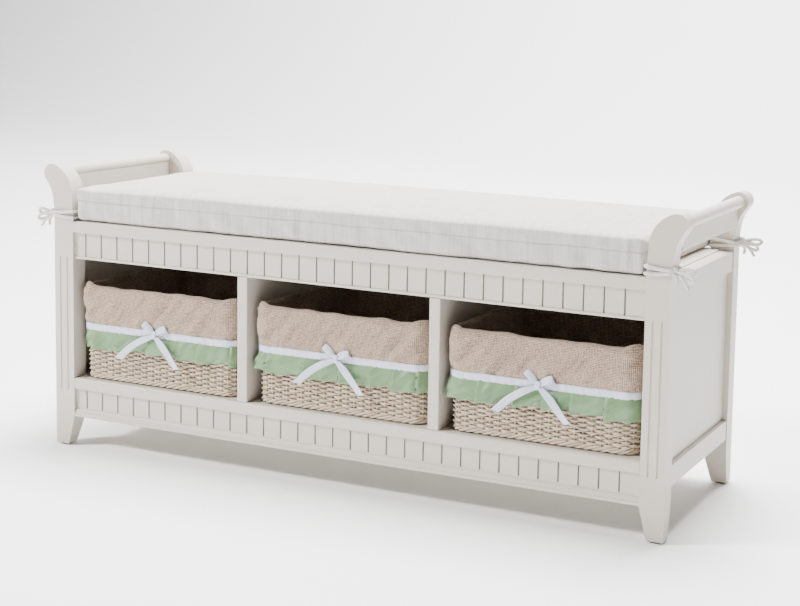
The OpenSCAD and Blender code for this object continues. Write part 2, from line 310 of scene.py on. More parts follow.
def steel_finish():
    f = Finish("zinc_screws")
    wear = f.grain(f.place(), 900.0, 2.0)
    return f.surface(Base_Color=(0.55, 0.55, 0.57, 1), Metallic=1.0, Roughness=0.3 + wear * 0.2,
                     Normal=f.bump(wear, 0.0001, 0.3))


def nylon_finish():
    f = Finish("nylon_glides")
    scuff = f.grain(f.place(), 600.0, 3.0)
    base = f.blend(scuff.between(0.5, 0.8), (0.02, 0.02, 0.02), (0.06, 0.06, 0.06))
    return f.surface(Base_Color=base, Roughness=0.5 + scuff * 0.2,
                     Normal=f.bump(scuff, 0.0001, 0.4))


def linen_finish(name, colour_of, slub, seam=None):
    """Plain weave with slub threads; seam is the height of a stitched seam round the sides."""
    f = Finish(name)
    place = f.place()
    x, y, z = f.axes(place)
    side_on = abs(f.axes(f.add("ShaderNodeTexCoord")["Normal"])[0]) > 0.72
    across = x + side_on * (y - x)
    along = y + z - side_on * y
    both = f.add("ShaderNodeCombineXYZ", inputs={0: across, 1: along})[0]
    warp = f.grain(f.stretch(both, (620.0, 24.0, 1.0)), 1.0, 2.0)
    warp_wide = f.grain(f.stretch(both, (165.0, 9.0, 1.0)), 1.0, 3.0)
    weft = f.grain(f.stretch(both, (26.0, 700.0, 1.0)), 1.0, 2.0)
    cloudy = f.grain(place, 7.0, 3.0)
    turn = 2 * math.pi / (1.15 * MM)
    weave = (across * turn).sine() * (along * turn).sine()
    streaks = warp.between(0.50, 0.70) * 0.55 + warp_wide.between(0.52, 0.70) * 0.42
    streaks = streaks + weft.between(0.54, 0.74) * 0.35
    base = f.blend(streaks, colour_of, slub)
    base = f.blend(warp_wide.between(0.22, 0.42), tinted(colour_of, 1.13), base)
    base = f.blend(cloudy.between(0.3, 0.7) * 0.35, base, tinted(colour_of, 0.97))
    height = weave * 0.16 + warp * 0.5 + weft * 0.35 + warp_wide * 0.5
    if seam is not None:
        wander = f.grain(f.stretch(place, (5.0, 5.0, 0.0)), 1.0, 1.0) - 0.5
        off = (z - seam + wander * 9 * MM) / (1.3 * MM)
        seam_dent_and_shade = f.add("ShaderNodeMath", {"operation": "EXPONENT"}, {0: 0 - off * off})[0]
        stitches = (across * (2 * math.pi / (3.4 * MM))).sine().between(-0.2, 0.3)
        # painted shade: the colour darkens in the seam's dent, where shade falls; the dent is also
        # a real bump below
        base = f.blend(seam_dent_and_shade * 0.28, base, tinted(slub, 0.6))
        height = height - seam_dent_and_shade * (1.5 + stitches * 0.8)
    return f.surface(Base_Color=base, Roughness=0.86 + weft * 0.1,
                     Normal=f.bump(height, 0.00055, 0.75), Sheen_Weight=0.25,
                     Sheen_Roughness=0.5, Specular_IOR_Level=0.2)


def cloth_axes(f):
    """Distances across and along the cut cloth, in metres."""
    parts = f.axes(f.add("ShaderNodeUVMap", {"uv_map": "cut"})[0])
    return parts[0], parts[1]


def tweed_finish(settings):
    """Small broken diamonds of pale and dark yarn."""
    f = Finish("tweed_liner")
    across, along = cloth_axes(f)
    both = f.add("ShaderNodeCombineXYZ", inputs={0: across, 1: along})[0]
    turn = 2 * math.pi / (5.2 * MM)
    diamond = ((across + along) * turn).sine() * ((across - along) * turn).sine()
    yarn = f.grain(both, 480.0, 2.0)
    fleck = f.grain(both, 210.0, 2.0)
    patch = f.grain(both, 22.0, 3.0)
    check = (diamond * 0.42 + yarn * 0.9 + fleck * 0.8 + patch * 0.35).between(0.68, 1.38)
    base = f.blend(check, settings.tweed_dark, settings.tweed_light)
    height = diamond * 0.25 + yarn + fleck * 0.5
    return f.surface(Base_Color=base, Roughness=0.9 + yarn * 0.08,
                     Normal=f.bump(height, 0.0009, 0.8), Sheen_Weight=0.25,
                     Sheen_Roughness=0.45, Specular_IOR_Level=0.15)


def satin_finish(name, rgb, gloss, width=None):
    """Float-faced satin; width puts a woven edge on each side of a ribbon."""
    f = Finish(name)
    across, along = cloth_axes(f)
    both = f.add("ShaderNodeCombineXYZ", inputs={0: across, 1: along})[0]
    floats = f.grain(f.stretch(both, (90.0, 2600.0, 1.0)), 1.0, 2.0)
    soft = f.grain(both, 45.0, 3.0)
    base = f.blend(soft.between(0.3, 0.7), tinted(rgb, 0.93), tinted(rgb, 1.04))
    base = f.blend(floats.between(0.45, 0.75) * 0.3, base, tinted(rgb, 0.86))
    height = floats * 0.6 + soft * 0.4
    if width:
        edge = abs(along / width - 0.5).between(0.36, 0.42)
        ribs = (across * (2 * math.pi / (0.9 * MM))).sine()
        base = f.blend(edge * 0.35, base, tinted(rgb, 0.80))
        height = height + edge * (0.6 + ribs * 0.3)
    return f.surface(Base_Color=base, Roughness=gloss + soft * 0.16,
                     Normal=f.bump(height, 0.0003, 0.5), Sheen_Weight=0.3,
                     Sheen_Roughness=0.3, Specular_IOR_Level=0.5)


def willow_finish(settings):
    """Peeled rods, each its own tone, with knots and a faint grain."""
    f = Finish("peeled_willow")
    rod, along = cloth_axes(f)
    tone = f.add("ShaderNodeTexWhiteNoise", {"noise_dimensions": "1D"},
                 {"W": rod.maths("FLOOR", rod)})["Value"]
    both = f.add("ShaderNodeCombineXYZ", inputs={0: rod * 37.0, 1: along})[0]
    run = f.grain(f.stretch(both, (1.0, 38.0, 1.0)), 1.0, 3.0)
    fibre = f.grain(f.stretch(f.place(), (700.0, 700.0, 240.0)), 1.0, 2.0)
    base = f.blend((tone * 0.55 + run * 0.75).between(0.35, 1.0),
                   tinted(settings.willow, 1.22), settings.willow)
    base = f.blend(run.between(0.60, 0.80) * 0.65, base, settings.willow_dark)
    base = f.blend(fibre.between(0.4, 0.8) * 0.25, base, tinted(settings.willow, 0.7))
    return f.surface(Base_Color=base, Roughness=0.48 + fibre * 0.2,
                     Normal=f.bump(fibre * 0.6 + run * 0.4, 0.0003, 0.5),
                     Specular_IOR_Level=0.4)


def floor_finish():
    f = Finish("studio_floor")
    cloudy = f.grain(f.place(), 2.0, 2.0)
    return f.surface(Base_Color=f.blend(cloudy, (0.93, 0.93, 0.93), (0.95, 0.95, 0.95)),
                     Roughness=0.9, Specular_IOR_Level=0.1)


# ---- Mesh helpers -------------------------------------------------------


def make_object(name, mesh, finish):
    thing = bpy.data.objects.new(name, mesh)
    bpy.context.scene.collection.objects.link(thing)
    mesh.materials.append(finish)
    for face in mesh.polygons:
        face.use_smooth = True
    return thing


def mesh_of(name, points, faces, cut=None):
    """A mesh; cut gives each face's corners their place on the flat cloth."""
    mesh = bpy.data.meshes.new(name)
    mesh.from_pydata([tuple(p) for p in points], [], faces)
    if cut is not None:
        layer = mesh.uv_layers.new(name="cut")
        layer.data.foreach_set("uv", np.asarray(cut, float).ravel())
    return mesh


def grid(rows, cols, closed):
    """Faces of a grid of points, and each face corner's (row, column)."""
    faces, corners = [], []
    for i in range(rows - 1):
        for j in range(cols if closed else cols - 1):
            k = (j + 1) % cols
            faces.append((i * cols + j, i * cols + k, (i + 1) * cols + k, (i + 1) * cols + j))
            corners += [(i, j), (i, j + 1), (i + 1, j + 1), (i + 1, j)]
    return faces, np.array(corners)


def cloth_piece(name, points, closed, thickness, finish, width, cap=False):
    """A thin piece from a grid of points; width is how wide its rows lie when flat."""
    rows, cols = points.shape[:2]
    faces, corners = grid(rows, cols, closed)
    steps = np.linalg.norm(np.diff(points, axis=0), axis=2).mean(axis=1)
    along = np.concatenate([[0], np.cumsum(steps)])
    cut = np.stack([corners[:, 1] * width / (cols if closed else cols - 1),
                    along[corners[:, 0]]], axis=1)
    if cap:
        faces.append(tuple(range(cols))[::-1])
        cut = np.vstack([cut, np.zeros((cols, 2))])
    thing = make_object(name, mesh_of(name, points.reshape(-1, 3), faces, cut), finish)
    solid = thing.modifiers.new("thickness", "SOLIDIFY")
    solid.thickness = thickness
    solid.offset = 0
    return thing


def ring(turn, z):
    """Points and outward directions at parts of a turn round the tub at height z."""
    inset = LEAN * (RIM_Z - z)
    a, b, r = HALF_W - inset - CORNER, HALF_D - inset - CORNER, CORNER
    quarter = math.pi * r / 2
    runs = (
        (a, (0, b + r), (-1, 0)), (quarter, (-a, b), 90), (2 * b, (-a - r, b), (0, -1)),
        (quarter, (-a, -b), 180), (2 * a, (-a, -b - r), (1, 0)), (quarter, (a, -b), 270),
        (2 * b, (a + r, -b), (0, 1)), (quarter, (a, b), 0), (a, (a, b + r), (-1, 0)),
    )
    left = (np.asarray(turn) % 1.0) * sum(run[0] for run in runs)
    points, outward = np.zeros((len(left), 3)), np.zeros((len(left), 3))
    start = 0.0
    for run, origin, heading in runs:
        here = (left >= start) & (left <= start + run + 1e-9)
        t = left[here] - start
        if isinstance(heading, tuple):
            points[here, :2] = np.array(origin) + t[:, None] * np.array(heading)
            outward[here, :2] = (heading[1], -heading[0])
        else:
            angle = math.radians(heading) + t / r
            facing = np.stack([np.cos(angle), np.sin(angle)], axis=1)
            points[here, :2] = np.array(origin) + r * facing
            outward[here, :2] = facing
        start += run
    points[:, 2] = z
    return points, outward


def way_round(z):
    """Length once round the tub at height z."""
    inset = LEAN * (RIM_Z - z)
    return 4 * (HALF_W + HALF_D - 2 * inset - 2 * CORNER) + 2 * math.pi * CORNER


def folds(rng, turn, height, slope, counts, size):
    """Soft creases that run aslant up the cloth and meet round the tub."""
    total = np.zeros_like(turn)
    for count in counts:
        phase = rng.uniform(0, 2 * math.pi)
        lean = slope * rng.uniform(0.7, 1.3) / way_round(RIM_Z)
        wave = np.sin(math.pi * count * (turn - lean * height) + phase)
        total += rng.uniform(0.5, 1.0) * ((1 - np.abs(wave)) ** 1.7)
    return size * total / len(counts)


def drape(rng, turn, height, slope, counts, size):
    """Broad rounded folds leaning one way, each running out where it will."""
    total = np.zeros_like(turn)
    for count in counts:
        phase, where = rng.uniform(0, 2 * math.pi, 2)
        lean = slope * rng.uniform(0.75, 1.2) / way_round(RIM_Z)
        wave = np.sin(2 * math.pi * count * (turn - lean * height) + phase)
        strength = 0.6 + 0.4 * np.sin(2 * math.pi * 5 * turn + where)
        total += strength * (1 - (1 - wave) / 2) ** 2.2
    return size * total / len(counts)


def tube(points, side, up, radius, sides=6, closed=False):
    """Rings of a rod along points; returns its points and faces."""
    angle = np.linspace(0, 2 * math.pi, sides, endpoint=False)
    radius = np.broadcast_to(radius, len(points))[:, None, None]
    rings = points[:, None] + radius * (
        np.cos(angle)[None, :, None] * side[:, None] + np.sin(angle)[None, :, None] * up[:, None]
    )
    n = len(points)
    faces = []
    for i in range(n if closed else n - 1):
        for j in range(sides):
            k = (j + 1) % sides
            m = (i + 1) % n
            faces.append((i * sides + j, i * sides + k, m * sides + k, m * sides + j))
    if not closed:
        faces.append(tuple(range(sides))[::-1])
        faces.append(tuple((n - 1) * sides + j for j in range(sides)))
    return rings.reshape(-1, 3), faces


def tape(name, path, across, widths, thickness, finish, slant=0.0):
    """A flat tape along a path, its width along across; slant cuts its last end aslant."""
    path, across = np.asarray(path, float), np.asarray(across, float)
    across = across / np.linalg.norm(across, axis=1)[:, None]
    widths = np.broadcast_to(widths, len(path))
    steps = np.linspace(-0.5, 0.5, 5)
    points = path[:, None] + across[:, None] * (steps[None, :, None] * widths[:, None, None])
    tangent = np.gradient(path, axis=0)
    tangent /= np.maximum(np.linalg.norm(tangent, axis=1)[:, None], 1e-9)
    cup = np.cross(tangent, across)
    points += cup[:, None] * ((steps**2)[None, :, None] * widths[:, None, None] * 0.22)
    if slant:
        points[-1] += tangent[-1] * steps[:, None] * slant
    run = np.linalg.norm(np.diff(path, axis=0), axis=1).sum()
    return cloth_piece(name, points.transpose(1, 0, 2), False, thickness, finish, run)


def smooth_path(points, count):
    """A rounded path of count points through the given ones."""
    points = np.asarray(points, float)
    knots = np.concatenate([[0], np.cumsum(np.linalg.norm(np.diff(points, axis=0), axis=1))])
    ends = np.vstack([2 * points[0] - points[1], points, 2 * points[-1] - points[-2]])
    out = []
    for s in np.linspace(0, knots[-1], count):
        i = min(int(np.searchsorted(knots, s, side="right")) - 1, len(points) - 2)
        t = (s - knots[i]) / (knots[i + 1] - knots[i])
        a, b, c, d = ends[i : i + 4]
        out.append(0.5 * (2 * b + (c - a) * t + (2 * a - 5 * b + 4 * c - d) * t**2
                          + (3 * b - a - 3 * c + d) * t**3))
    return np.array(out)


def join(name, things):
    """One object from several, their modifiers worked in."""
    whole = bmesh.new()
    depsgraph = bpy.context.evaluated_depsgraph_get()
    depsgraph.update()
    finish = things[0].data.materials[0]
    for thing in things:
        part = bpy.data.meshes.new_from_object(thing.evaluated_get(depsgraph))
        part.transform(thing.matrix_world)
        whole.from_mesh(part)
        bpy.data.meshes.remove(part)
        bpy.data.objects.remove(thing)
    mesh = bpy.data.meshes.new(name)
    whole.to_mesh(mesh)
    whole.free()
    mesh.materials.clear()
    return make_object(name, mesh, finish)


# ---- Bench frame --------------------------------------------------------


def soften_edges(thing, radius):
    """Rounds a timber piece's arrises without touching its own mesh."""
    weld = thing.modifiers.new("weld", "WELD")
    weld.merge_threshold = 0.00002
    flat = thing.modifiers.new("flat", "DECIMATE")
    flat.decimate_type = "DISSOLVE"
    flat.angle_limit = math.radians(1.0)
    bevel = thing.modifiers.new("arris", "BEVEL")
    bevel.width = radius
    bevel.segments = 2
    bevel.limit_method = "ANGLE"
    bevel.angle_limit = math.radians(40)
    bevel.harden_normals = True
    level = thing.modifiers.new("normals", "WEIGHTED_NORMAL")
    level.keep_sharp = True


class BENCH_OT_timber(bpy.types.Operator):
    """Paint the bench's timber, round its edges and finish its hidden pieces"""

    bl_idname = "bench.timber"
    bl_label = "Timber"

    def execute(self, context):
        settings = context.scene.bench_frame
        paint, back = paint_finish(settings), back_finish(settings)
        # the aprons' paint, with painted shade in the grooves between boards
        boards = paint_finish(settings, joints=True)
        timber, steel, nylon = timber_finish(settings), steel_finish(), nylon_finish()
        finishes = {"white_paint": paint, "bare_wood": timber, "screw_steel": steel,
                    "glide_nylon": nylon}
        slots = {s["node"]: s["material_slot"] for s in frame["record"]["subparts"]}
        for node, thing in frame["nodes"].items():
            if slots[node] not in finishes:
                continue
            finish = {"back_panel": back, "seat_apron": boards, "shelf_apron": boards}.get(
                node, finishes[slots[node]])
            for place in thing.material_slots:
                place.material = finish
            if slots[node] == "white_paint":
                fine = node in ("seat_apron", "shelf_apron", "seat_moulding", "base_moulding")
                soften_edges(thing, settings.edge * (0.3 if fine else 1.0))
        return {"FINISHED"}


# ---- Cushion ------------------------------------------------------------


def cushion_block(low, high, inset):
    """A closed block with well rounded edges, a little under size, ready to swell."""
    low, high = low + Vector((inset,) * 3), high - Vector((inset,) * 3)
    low.z -= inset * 0.6
    shape = bmesh.new()
    bmesh.ops.create_cube(shape, size=1)
    size = high - low
    for v in shape.verts:
        v.co = Vector(low[i] + (v.co[i] + 0.5) * size[i] for i in range(3))
    uprights = [e for e in shape.edges
                if abs(e.verts[0].co.z - e.verts[1].co.z) > 1e-4]
    bmesh.ops.bevel(shape, geom=uprights, offset=9 * MM, segments=4, profile=0.5,
                    affect="EDGES")
    caps = [e for e in shape.edges
            if abs(e.verts[0].co.z - e.verts[1].co.z) < 1e-5
            and len({round(f.normal.z, 1) for f in e.link_faces}) > 1]
    bmesh.ops.bevel(shape, geom=caps, offset=8 * MM, segments=4, profile=0.5, affect="EDGES")
    mesh = bpy.data.meshes.new("seat_cushion")
    shape.to_mesh(mesh)
    shape.free()
    return mesh


def move_points(thing, points):
    for v, co in zip(thing.data.vertices, points):
        v.co = co


def swell(thing, most):
    """Fills the cover with pressure, then limits how far any point may have gone."""
    start = np.array([v.co for v in thing.data.vertices])
    cloth = thing.modifiers.new("fill", "CLOTH")
    for name, value in (("quality", 4), ("mass", 0.25), ("tension_stiffness", 25),
                        ("compression_stiffness", 18), ("shear_stiffness", 6),
                        ("bending_stiffness", 0.6), ("use_pressure", True),
                        ("uniform_pressure_force", 4.0)):
        setattr(cloth.settings, name, value)
    cloth.settings.effector_weights.gravity = 0
    cloth.collision_settings.use_self_collision = False
    cloth.point_cache.frame_start, cloth.point_cache.frame_end = 1, CLOTH_STEPS
    for step in range(1, CLOTH_STEPS + 1):
        bpy.context.scene.frame_set(step)
    depsgraph = bpy.context.evaluated_depsgraph_get()
    swollen = bpy.data.meshes.new_from_object(thing.evaluated_get(depsgraph))
    end = np.array([v.co for v in swollen.vertices])
    thing.modifiers.remove(cloth)
    bpy.data.meshes.remove(swollen)
    bpy.context.scene.frame_set(1)
    move = end - start
    far = np.maximum(np.linalg.norm(move, axis=1), 1e-9)
    move *= (most * np.tanh(far / most) / far)[:, None]
    move_points(thing, start + move)


def spread(thing, low, high):
    """Fits the filled cover between its two corners."""
    points = np.array([v.co for v in thing.data.vertices])
    least, most = points.min(0), points.max(0)
    share = (points - least) / (most - least)
    move_points(thing, np.array(low) + share * (np.array(high) - np.array(low)))


def crumple(thing, low, high):
    """Settles the cover in its place: gathers at the corners, soft dents and fine creases."""
    middle, size = (low + high) / 2, high - low
    thing.data.update()
    normals = [v.normal.copy() for v in thing.data.vertices]
    for v, normal in zip(thing.data.vertices, normals):
        x, y, z = v.co
        to_end = min(x - low.x, high.x - x)
        to_face = min(y - low.y, high.y - y)
        t = min(1.0, max(0.0, (z - low.z) / size.z))
        soft = noise.noise(Vector((x * 7, y * 8, z * 10))) * 2.6
        upright = noise.noise(Vector((x * 34, y * 34, z * 7 + 4))) * 3.8 * (1.15 - t)
        pleats = abs(noise.noise(Vector((x * 21, y * 21, z * 4 + 7)))) * -7.0 * (1 - t) ** 1.3
        fine = noise.noise(Vector((x * 120, y * 120, z * 38 + 9))) * 0.6
        aslant = noise.noise(Vector(((x + z * 1.6) * 30, y * 30, (z - x * 0.4) * 12))) * 2.2
        corner = math.exp(-((to_end / 0.055) ** 2)) * math.exp(-((to_face / 0.06) ** 2))
        gather = noise.noise(Vector((x * 90, y * 90, z * 14))) * 2.6 * corner
        side_on = 1 - 0.8 * abs(normal.z)
        shift = soft + (upright + pleats + fine + aslant) * side_on + gather
        v.co = v.co + normal * (shift * MM)
        crown = 4.0 * MM * (1 - (2 * (x - middle.x) / size.x) ** 6) \
            * (1 - (2 * (y - middle.y) / size.y) ** 4)
        if z > middle.z:
            v.co.z += crown * (z - middle.z) / (high.z - middle.z)
        rise = (v.co.z - low.z) / (0.2 * size.z)
        if 0 < rise < 1:
            v.co.z = low.z + 0.2 * size.z * rise**2
        v.co.x = min(max(v.co.x, low.x + 0.2 * MM), high.x - 0.2 * MM)
        v.co.y = max(v.co.y, low.y - 4 * MM)
        v.co.z = max(v.co.z, SEAT_Z + 0.5 * MM)


class BENCH_OT_cushion(bpy.types.Operator):
    """Make the box cushion and fill it"""

    bl_idname = "bench.cushion"
    bl_label = "Cushion"

    def execute(self, context):
        settings = context.scene.bench_cushion
        low, high = (Vector(v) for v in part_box("cushion"))
        mesh = cushion_block(low, high, (3) * MM)
        finish = linen_finish("slub_linen", settings.linen, settings.slub,
                              seam=(low.z + high.z) / 2 + 3 * MM)
        thing = make_object("seat_cushion", mesh, finish)
        remesh = thing.modifiers.new("even", "REMESH")
        remesh.mode = "VOXEL"
        remesh.voxel_size = 6 * MM
        depsgraph = context.evaluated_depsgraph_get()
        even = bpy.data.meshes.new_from_object(thing.evaluated_get(depsgraph))
        thing.modifiers.clear()
        thing.data = even
        swell(thing, settings.swell)
        spread(thing, low + Vector((0.3, 0.5, 0.6)) * MM, high - Vector((0.3, 1.0, 4.0)) * MM)
        crumple(thing, low, high)
        for face in thing.data.polygons:
            face.use_smooth = True
        divide = thing.modifiers.new("smooth", "SUBSURF")
        divide.levels = divide.render_levels = 1
        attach(thing, "bench")
        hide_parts("cushion")
        return {"FINISHED"}


def cord(points, radius):
    """A soft cord through the points, a little flattened towards Y."""
    path = smooth_path(points, max(10, 5 * len(points)))
    ahead = np.gradient(path, axis=0)
    ahead /= np.maximum(np.linalg.norm(ahead, axis=1)[:, None], 1e-9)
    side = np.cross(ahead, [0.0, 1.0, 0.0])
    weak = np.linalg.norm(side, axis=1) < 0.2
    side[weak] = np.cross(ahead[weak], [0.0, 0.0, 1.0])
    side /= np.linalg.norm(side, axis=1)[:, None]
    up = np.cross(side, ahead)
    ease = 1 + 0.1 * np.sin(np.arange(len(path)) * 1.7)
    return tube(path, side * 1.15, up * 0.85, radius * ease, 8)


def tie_mesh(name, knot, ring_low, ring_high, out, towards, radius, seed):
    """Two passes round a post, a knot at its outer edge, two open loops and two tails."""
    rng = np.random.default_rng(seed)
    x_in, x_out = (ring_low.x, ring_high.x) if out > 0 else (ring_high.x, ring_low.x)
    y_near, y_far = (ring_low.y, ring_high.y) if towards < 0 else (ring_high.y, ring_low.y)
    gap = radius + 0.3 * MM
    shapes = []
    for lift in (-1, 1):
        inner, outer = knot.z + lift * 5.6 * MM, knot.z + lift * 2.2 * MM
        flat = 3 * MM
        shapes.append(cord([
            (x_out + out * gap, knot.y, outer),
            (x_out + out * (gap - 1 * MM), y_near - towards * flat * 0.3, outer),
            (x_out - out * flat, y_near + towards * gap, outer),
            ((x_in + x_out) / 2, y_near + towards * gap, (inner + outer) / 2 - 0.6 * MM),
            (x_in + out * flat, y_near + towards * gap, inner),
            (x_in - out * gap * 0.9, y_near - towards * flat * 0.3, inner),
            (x_in - out * gap * 0.9, y_far + towards * flat * 0.3, inner),
            (x_in + out * flat, y_far - towards * gap, inner),
            (x_out - out * flat, y_far - towards * gap, outer),
            (x_out + out * (gap - 1 * MM), y_far + towards * flat * 0.3, outer),
            (x_out + out * gap, knot.y, outer),
        ], radius))
    for reach, drop, fat, swing in ((33, 2, 6.4, 2.0), (28, -11, 6.8, 7.0)):
        t = np.linspace(0.15, 2 * math.pi - 0.15, 18)
        go = (1 - np.cos(t)) / 2
        reach += rng.uniform(-3, 3)
        path = np.stack([knot.x + out * (2 + go * reach) * MM,
                         knot.y + towards * (2.0 + swing * go + 1.6 * np.sin(t)) * MM,
                         knot.z + (drop * go + fat * np.sin(t) * (0.3 + 0.7 * go)) * MM], axis=1)
        shapes.append(cord(path, radius * 0.95))
    for spots in (((6, 3, -4), (15, 6, -12), (24, 8, -25)), ((3, 5, -6), (6, 8, -14), (4, 9, -22))):
        path = [knot] + [knot + Vector((out * a * MM, towards * b * MM, c * MM))
                         for a, b, c in spots]
        shapes.append(cord(path, radius * 0.9))
    for tilt in (-0.5, 0.6):
        turn = np.linspace(0, 2 * math.pi, 14)
        path = np.stack([knot.x + out * (1.2 + 3.6 * np.cos(turn)) * MM,
                         knot.y + towards * (1.5 + 4.6 * np.sin(turn) * math.cos(tilt)) * MM,
                         knot.z + 5.2 * np.sin(turn + tilt) * MM], axis=1)
        shapes.append(cord(path, radius * 1.05))
    points = np.concatenate([shape[0] for shape in shapes])
    faces, start = [], 0
    for shape in shapes:
        for face in shape[1]:
            faces.append(tuple(i + start for i in face))
        start += len(shape[0])
    return mesh_of(name, points, faces)


class BENCH_OT_ties(bpy.types.Operator):
    """Tie the cushion's ties round the posts"""

    bl_idname = "bench.ties"
    bl_label = "Ties"

    def execute(self, context):
        settings = context.scene.bench_cushion
        finish = linen_finish("tie_cotton", settings.tie, tinted(settings.tie, 0.8))
        for seed, name in enumerate(("front_left", "front_right", "rear_left", "rear_right")):
            out = 1 if name.endswith("right") else -1
            towards = -1 if name.startswith("front") else 1
            post_low, post_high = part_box(f"post_{name}")
            band_low, band_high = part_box(f"tie_{name}")
            xs = sorted((out * POST_INNER, out * POST_OUTER))
            low, high = Vector((xs[0], post_low[1], 0)), Vector((xs[1], post_high[1], 0))
            edge = low.y if towards < 0 else high.y
            knot = Vector((out * (POST_OUTER + 3.5 * MM), edge - towards * 6 * MM,
                           band_low[2] + (band_high[2] - band_low[2]) * 0.83))
            mesh = tie_mesh(f"bow_tie_{name}", knot, low, high, out, towards,
                            settings.cord / 2, 11 + seed)
            thing = make_object(f"bow_tie_{name}", mesh, finish)
            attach(thing, "bench")
            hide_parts(f"tie_{name}")
        return {"FINISHED"}


# ---- Baskets ------------------------------------------------------------


def seat_piece(thing, side, nodes):
    """Puts a basket piece in its cubby, on its basket's body."""
    thing.location = basket_centre(side)
    bpy.context.view_layer.update()
    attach(thing, f"basket_body_{side}")
    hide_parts(*nodes)


def woven_mesh(settings):
    """Upright stakes, one rod in and out of them in each row, a twisted foot and a base."""
    points, faces, cut = [], [], []
    count = 0
    rng = np.random.default_rng(7)
    rod = 0

    def keep(shape, step, sides=6):
        nonlocal count, rod
        new_points, new_faces = shape
        points.append(new_points)
        for face in new_faces:
            faces.append(tuple(i + count for i in face))
            cut.extend((rod + 0.5, (i // sides) * step) for i in face)
        count += len(new_points)
        rod += 1

    stakes = settings.stakes
    up = np.array([[0.0, 0.0, 1.0]])
    weave_top = RIBBON_LOW.z - 26 * MM
    middle = -WALL / 2 - 0.2 * MM
    rows = int((weave_top - BASE_Z - 10 * MM) / settings.row)
    turn = np.linspace(0, 1, stakes * 6, endpoint=False)
    for row in range(rows):
        path, outward = ring(turn, BASE_Z + 12.0 * MM + row * settings.row)
        wave = np.cos(math.pi * (stakes * turn + row))
        wave = np.sign(wave) * np.abs(wave) ** 0.75
        path = path + outward * (middle + (2.8 * wave - 0.4) * MM)[:, None]
        drift = np.cumsum(rng.normal(0, 1, len(turn)))
        drift = drift - np.linspace(0, drift[-1], len(turn))
        path[:, 2] += np.clip(drift * 0.03 * MM, -0.6 * MM, 0.6 * MM)
        thick = settings.weaver / 2 * (0.9 + 0.12 * np.sin(turn * 61 + row * 2) + 0.12 * wave)
        keep(tube(path, outward, np.repeat(up, len(turn), 0), thick, 6, True), 0.003)
    for stake in range(stakes):
        z = np.linspace(BASE_Z + 6 * MM, weave_top + 6 * MM, 4)
        spots = [ring([stake / stakes], h) for h in z]
        outward = np.array([s[1][0] for s in spots])
        path = np.array([s[0][0] for s in spots]) + outward * (middle - 0.6 * MM)
        keep(tube(path, outward, np.cross(outward, up), 1.5 * MM, 6), 0.012)
    for strand in range(3):
        turns = np.linspace(0, 1, stakes * 5, endpoint=False)
        path, outward = ring(turns, BASE_Z + 5.6 * MM)
        twist = 2 * math.pi * (stakes // 3 * turns + strand / 3)
        path = path + outward * (middle + 2.2 * MM * np.cos(twist))[:, None]
        path[:, 2] += 2.9 * MM * np.sin(twist)
        keep(tube(path, outward, np.repeat(up, len(turns), 0), 2.2 * MM, 6, True), 0.003)
    inset = LEAN * (RIM_Z - BASE_Z) + 5 * MM
    edge = HALF_D - inset - CORNER
    for row in range(26):
        y = -HALF_D + 14 * MM + row * (2 * HALF_D - 28 * MM) / 25
        reach = HALF_W - inset
        if abs(y) > edge:
            reach -= CORNER - math.sqrt(max(0.0, CORNER**2 - (abs(y) - edge) ** 2))
        x = np.linspace(-reach, reach, 60)
        lift = 1.2 * MM * np.cos(np.linspace(0, 14 * math.pi, 60) + math.pi * row)
        path = np.stack([x, np.full(60, y), BASE_Z + 4.6 * MM + lift], axis=1)
        side = np.tile([0.0, 1.0, 0.0], (60, 1))
        keep(tube(path, side, np.repeat(up, 60, 0), 2.6 * MM, 6), 0.01)
    turn = np.linspace(0, 1, 96, endpoint=False)
    inward = ring(turn, weave_top)[1]
    shell = np.concatenate([ring(turn, z)[0] + inward * g for z, g in (
        (weave_top, -2 * MM), (RIM_Z - 1 * MM, -2 * MM), (RIM_Z - 1 * MM, -5.5 * MM),
        (weave_top, -5.5 * MM), (weave_top, -2 * MM))])
    keep((shell, grid(5, 96, True)[0]), 0.01)
    return mesh_of("woven_basket", np.concatenate(points), faces, cut)


class BENCH_OT_wicker(bpy.types.Operator):
    """Weave the three baskets"""

    bl_idname = "bench.wicker"
    bl_label = "Wicker"

    def execute(self, context):
        settings = context.scene.bench_baskets
        mesh = woven_mesh(settings)
        finish = willow_finish(settings)
        for side in SIDES:
            thing = make_object(f"wicker_{side}", mesh.copy(), finish)
            seat_piece(thing, side, [f"basket_{side}"])
        return {"FINISHED"}


